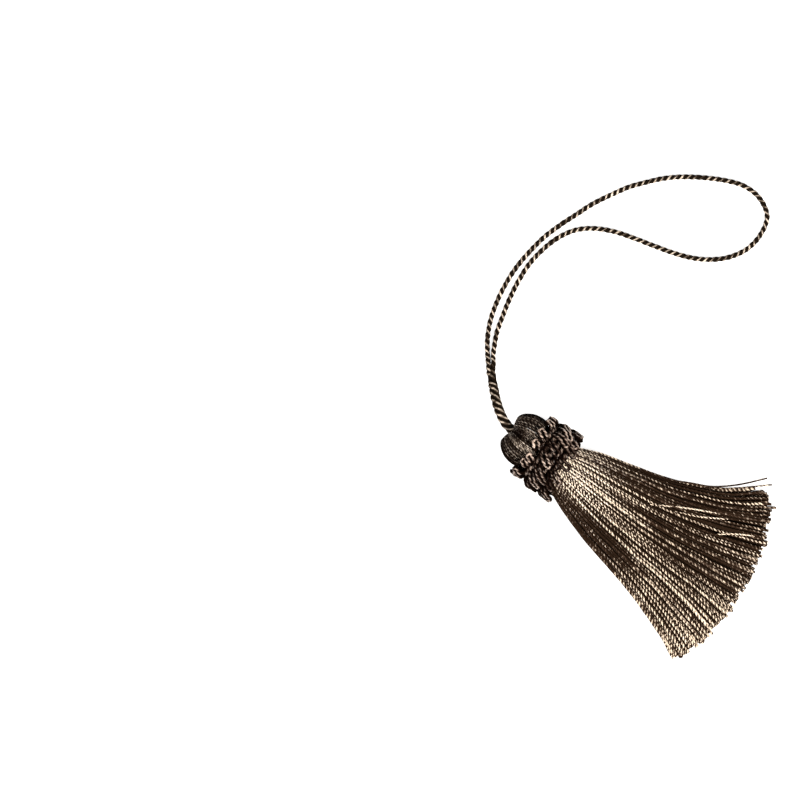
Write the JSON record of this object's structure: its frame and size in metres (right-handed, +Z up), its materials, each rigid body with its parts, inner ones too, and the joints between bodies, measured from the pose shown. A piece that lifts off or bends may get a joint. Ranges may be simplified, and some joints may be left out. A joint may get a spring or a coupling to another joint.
{
  "type": "key tassel",
  "caption": "Yarn tassel with a round head, a ruff of looped rope, a fanned skirt and a long hanging loop of twisted cord, lying flat.",
  "frame": {"origin": "on the table, under the middle of the tassel's own box, which leaves out the cord", "axes": "+Y from the tips of the skirt to the head, +X to the right with the head at the top, +Z up from the table"},
  "size_m": [0.1341, 0.1178, 0.0229],
  "materials": {
    "yarn": "silky rayon strands, dark brown with beige glints",
    "rope": "satin twisted rope, dark brown",
    "cord": "satin twisted cord, brown with beige highlights"
  },
  "bodies": {
    "root": {"head_and_skirt": "yarn", "ruff": "rope", "hanging_cord": "cord"}
  },
  "joints": []
}
